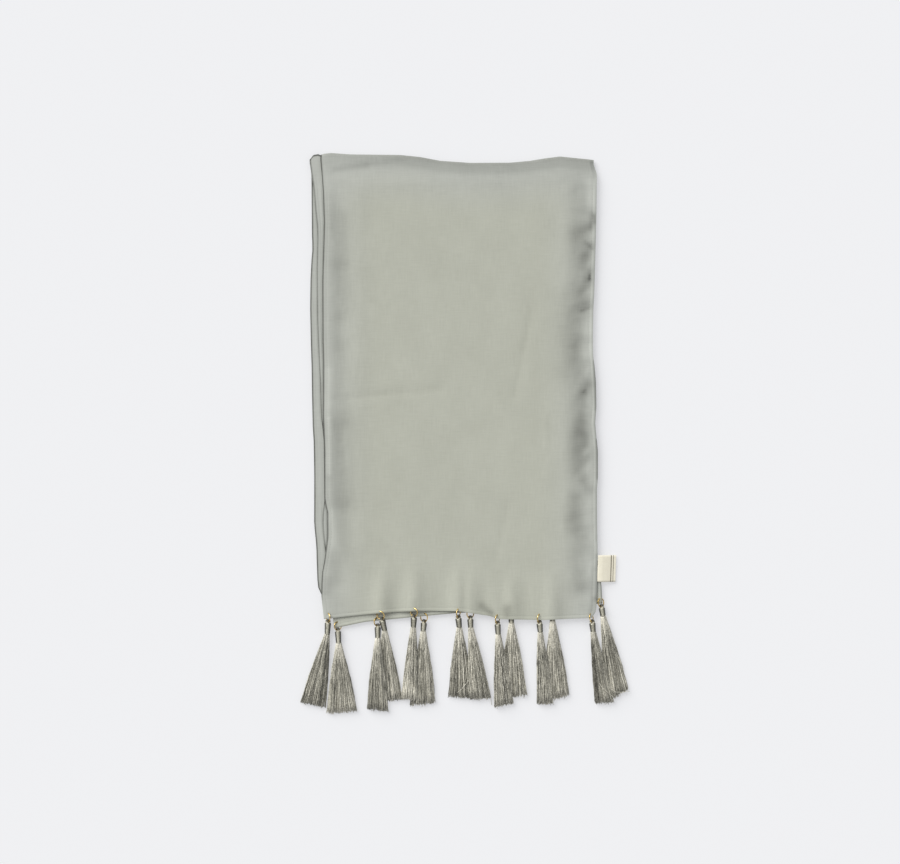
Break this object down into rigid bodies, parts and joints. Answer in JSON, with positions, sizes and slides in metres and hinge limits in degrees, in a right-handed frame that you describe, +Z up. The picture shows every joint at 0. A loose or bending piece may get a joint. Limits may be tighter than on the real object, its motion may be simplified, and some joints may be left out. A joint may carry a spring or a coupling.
{
  "type": "tasselled scarf",
  "caption": "Long silk scarf folded in four and laid flat, with a row of tassels on brass rings along each hem and a tape label on one side.",
  "frame": {"origin": "on the surface that the scarf lies on, below the middle of its outline as seen from above", "axes": "+X across the scarf to the side with the label, +Y along the folded length away from the tassels, +Z up out of the surface"},
  "size_m": [0.3276, 0.5601, 0.0105],
  "materials": {
    "silk": "soft sheen, fine plain weave",
    "tassel_thread": "glossy twisted thread",
    "brass": "polished",
    "label_tape": "matt woven tape"
  },
  "bodies": {
    "root": {"front_panel": "silk", "second_panel": "silk", "folded_layers": "silk", "label": "label_tape", "tassel_01": "tassel_thread", "tassel_02": "tassel_thread", "tassel_03": "tassel_thread", "tassel_04": "tassel_thread", "tassel_05": "tassel_thread", "tassel_06": "tassel_thread", "tassel_07": "tassel_thread", "tassel_08": "tassel_thread", "tassel_09": "tassel_thread", "tassel_10": "tassel_thread", "tassel_11": "tassel_thread", "tassel_12": "tassel_thread", "tassel_13": "tassel_thread", "tassel_14": "tassel_thread", "ring_01": "brass", "ring_02": "brass", "ring_03": "brass", "ring_04": "brass", "ring_05": "brass", "ring_06": "brass", "ring_07": "brass", "ring_08": "brass", "ring_09": "brass", "ring_10": "brass", "ring_11": "brass", "ring_12": "brass", "ring_13": "brass", "ring_14": "brass"}
  },
  "joints": []
}
